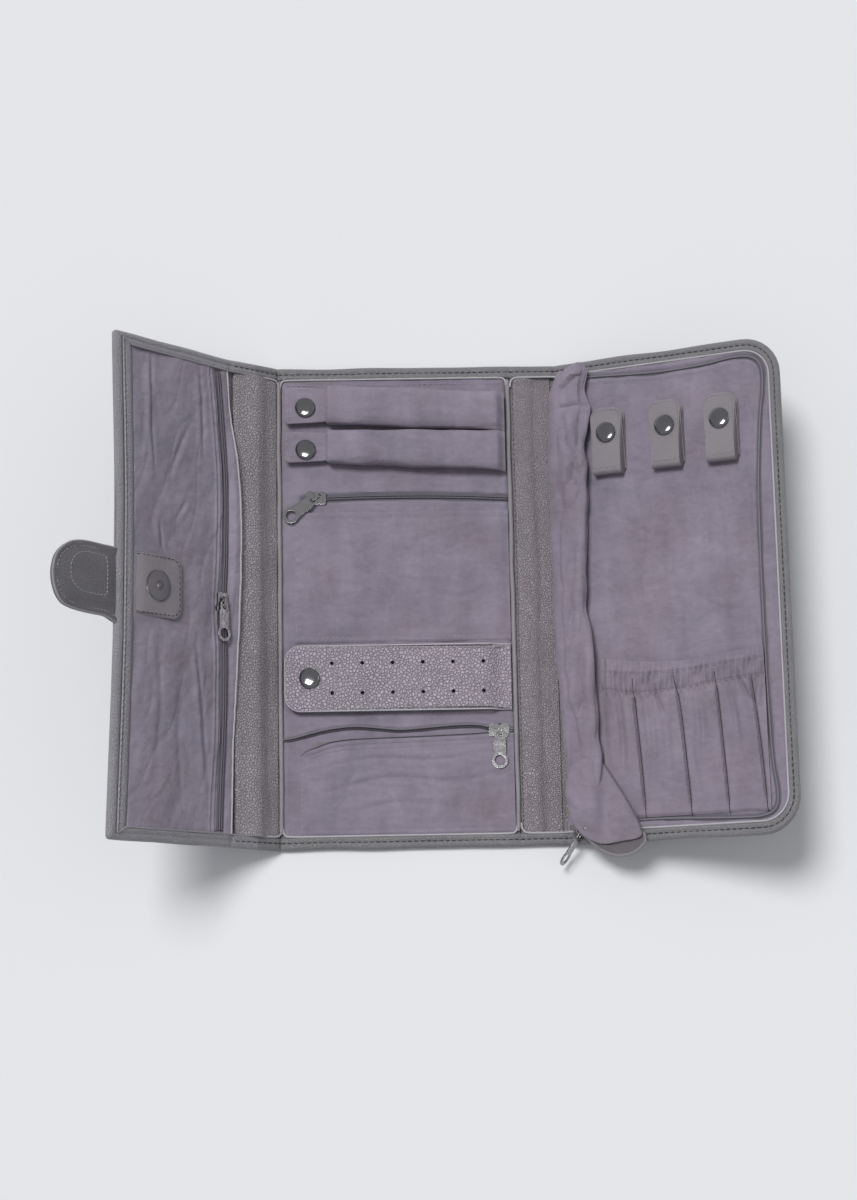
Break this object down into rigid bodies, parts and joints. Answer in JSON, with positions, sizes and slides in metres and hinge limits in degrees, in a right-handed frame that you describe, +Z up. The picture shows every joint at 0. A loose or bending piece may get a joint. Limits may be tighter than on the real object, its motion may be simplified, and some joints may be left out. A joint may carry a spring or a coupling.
{
  "type": "jewelry clutch",
  "caption": "Folding jewelry clutch in grey leather lined with suede, lying open: snap-down ring bars, zip pockets, earring strap, necklace tabs and an elastic pocket under a rolled lid.",
  "frame": {"origin": "centre of the centre panel's underside, on the table", "axes": "+X from the flap towards the right panel, across the folds; +Y along the folds, towards the ring bars' end; +Z up, out of the lining"},
  "size_m": [0.3424, 0.2499, 0.0984],
  "materials": {
    "grey_leather": "smooth grained, satin",
    "suede": "soft suede-like microfibre, matte",
    "stiffener_board": "hidden fibre board, raw",
    "foam": "hidden soft padding",
    "zip_tape": "woven tape with coil teeth, matte",
    "polished_metal": "polished",
    "dark_metal": "dark gunmetal, polished"
  },
  "bodies": {
    "centre": {"centre_leather": "grey_leather", "centre_board": "stiffener_board", "centre_lining": "suede", "centre_piping_left": "grey_leather", "centre_piping_right": "grey_leather", "ring_bar_snap_stud_1": "dark_metal", "ring_bar_snap_stud_2": "dark_metal", "upper_zip": "zip_tape", "upper_pocket": "suede", "earring_snap_stud": "dark_metal", "lower_zip": "zip_tape", "lower_pocket": "suede"},
    "spine_1": {"spine_1_leather": "grey_leather", "spine_1_facing": "grey_leather"},
    "flap": {"flap_leather": "grey_leather", "flap_board": "stiffener_board", "flap_lining": "suede", "flap_zip": "zip_tape", "magnet_patch": "grey_leather", "magnet_disc": "polished_metal", "closure_tab": "grey_leather"},
    "spine_2": {"spine_2_leather": "grey_leather", "spine_2_facing": "grey_leather"},
    "right_panel": {"panel_leather": "grey_leather", "panel_board": "stiffener_board", "panel_lining": "suede", "panel_zip": "zip_tape", "magnet_receiver": "polished_metal", "lid_zip_slider": "polished_metal", "elastic_pocket": "suede", "necklace_tab_back_1": "grey_leather", "necklace_tab_back_2": "grey_leather", "necklace_tab_back_3": "grey_leather", "necklace_snap_stud_1": "dark_metal", "necklace_snap_stud_2": "dark_metal", "necklace_snap_stud_3": "dark_metal"},
    "lid": {"rolled_lid": "suede"},
    "ring_bar_1": {"ring_bar_cover_1": "suede", "ring_bar_core_1": "foam", "ring_bar_snap_cap_1": "dark_metal"},
    "ring_bar_2": {"ring_bar_cover_2": "suede", "ring_bar_core_2": "foam", "ring_bar_snap_cap_2": "dark_metal"},
    "earring_strap": {"earring_strap": "grey_leather", "earring_snap_cap": "dark_metal"},
    "necklace_tab_1": {"necklace_tab_1": "grey_leather", "necklace_snap_cap_1": "dark_metal"},
    "necklace_tab_2": {"necklace_tab_2": "grey_leather", "necklace_snap_cap_2": "dark_metal"},
    "necklace_tab_3": {"necklace_tab_3": "grey_leather", "necklace_snap_cap_3": "dark_metal"},
    "flap_slider": {"flap_zip_slider": "polished_metal"},
    "upper_slider": {"upper_zip_slider": "polished_metal"},
    "lower_slider": {"lower_zip_slider": "polished_metal"},
    "flap_puller": {"flap_zip_puller": "dark_metal"},
    "upper_puller": {"upper_zip_puller": "dark_metal"},
    "lower_puller": {"lower_zip_puller": "dark_metal"},
    "lid_puller": {"lid_zip_puller": "dark_metal"}
  },
  "joints": [
    {"name": "spine_1_fold", "type": "hinge", "parent": "centre", "child": "spine_1", "pos_m": [-0.058, 0, 0.0012], "axis": [0, 1, 0], "range_deg": [-39, 46]},
    {"name": "flap_fold", "type": "hinge", "parent": "spine_1", "child": "flap", "pos_m": [-0.08131, 0, 0.02008], "axis": [0, 1, 0], "range_deg": [-7, 87]},
    {"name": "spine_2_fold", "type": "hinge", "parent": "centre", "child": "spine_2", "pos_m": [0.058, 0, 0.0012], "axis": [0, -1, 0], "range_deg": [0, 85]},
    {"name": "right_panel_fold", "type": "hinge", "parent": "spine_2", "child": "right_panel", "pos_m": [0.081, 0, 0.0012], "axis": [0, -1, 0], "range_deg": [-22.8, 71]},
    {"name": "lid_lift", "type": "hinge", "parent": "right_panel", "child": "lid", "pos_m": [0.08337, 0, 0.00521], "axis": [0, 1, 0], "range_deg": [-70, 0]},
    {"name": "ring_bar_1_lift", "type": "hinge", "parent": "centre", "child": "ring_bar_1", "pos_m": [0.053, 0.0985, 0.0043], "axis": [0, -1, 0], "range_deg": [-110, 0]},
    {"name": "ring_bar_2_lift", "type": "hinge", "parent": "centre", "child": "ring_bar_2", "pos_m": [0.053, 0.077, 0.0043], "axis": [0, -1, 0], "range_deg": [-110, 0]},
    {"name": "earring_strap_lift", "type": "hinge", "parent": "centre", "child": "earring_strap", "pos_m": [0.053, -0.0374, 0.0043], "axis": [0, -1, 0], "range_deg": [-110, 0]},
    {"name": "necklace_tab_1_lift", "type": "hinge", "parent": "right_panel", "child": "necklace_tab_1", "pos_m": [0.10501, 0.0622, 0.01758], "axis": [-0.9135, 0, -0.4067], "range_deg": [-130, 0]},
    {"name": "necklace_tab_2_lift", "type": "hinge", "parent": "right_panel", "child": "necklace_tab_2", "pos_m": [0.13233, 0.0622, 0.02975], "axis": [-0.9135, 0, -0.4067], "range_deg": [-130, 0]},
    {"name": "necklace_tab_3_lift", "type": "hinge", "parent": "right_panel", "child": "necklace_tab_3", "pos_m": [0.15745, 0.0622, 0.04093], "axis": [-0.9135, 0, -0.4067], "range_deg": [-130, 0]},
    {"name": "flap_zip_slide", "type": "slide", "parent": "flap", "child": "flap_slider", "axis": [0, 1, 0], "range_m": [-0.1024, 0.1084]},
    {"name": "upper_zip_slide", "type": "slide", "parent": "centre", "child": "upper_slider", "axis": [1, 0, 0], "range_m": [0, 0.0877]},
    {"name": "lower_zip_slide", "type": "slide", "parent": "centre", "child": "lower_slider", "axis": [1, 0, 0], "range_m": [-0.0937, 0]},
    {"name": "flap_puller_turn", "type": "hinge", "parent": "flap_slider", "child": "flap_puller", "pos_m": [-0.08267, -0.003, 0.02739], "axis": [0.6947, 0, -0.7193], "range_deg": [-160, 0]},
    {"name": "upper_puller_turn", "type": "hinge", "parent": "upper_slider", "child": "upper_puller", "pos_m": [-0.039, 0.053, 0.0053], "axis": [0.5736, -0.8192, 0], "range_deg": [-160, 0]},
    {"name": "lower_puller_turn", "type": "hinge", "parent": "lower_slider", "child": "lower_puller", "pos_m": [0.0487, -0.0635, 0.0053], "axis": [1, 0, 0], "range_deg": [-160, 0]},
    {"name": "lid_puller_turn", "type": "hinge", "parent": "right_panel", "child": "lid_puller", "pos_m": [0.0867, -0.1141, 0.01052], "axis": [-0.4067, 0, 0.9135], "range_deg": [0, 60]}
  ]
}
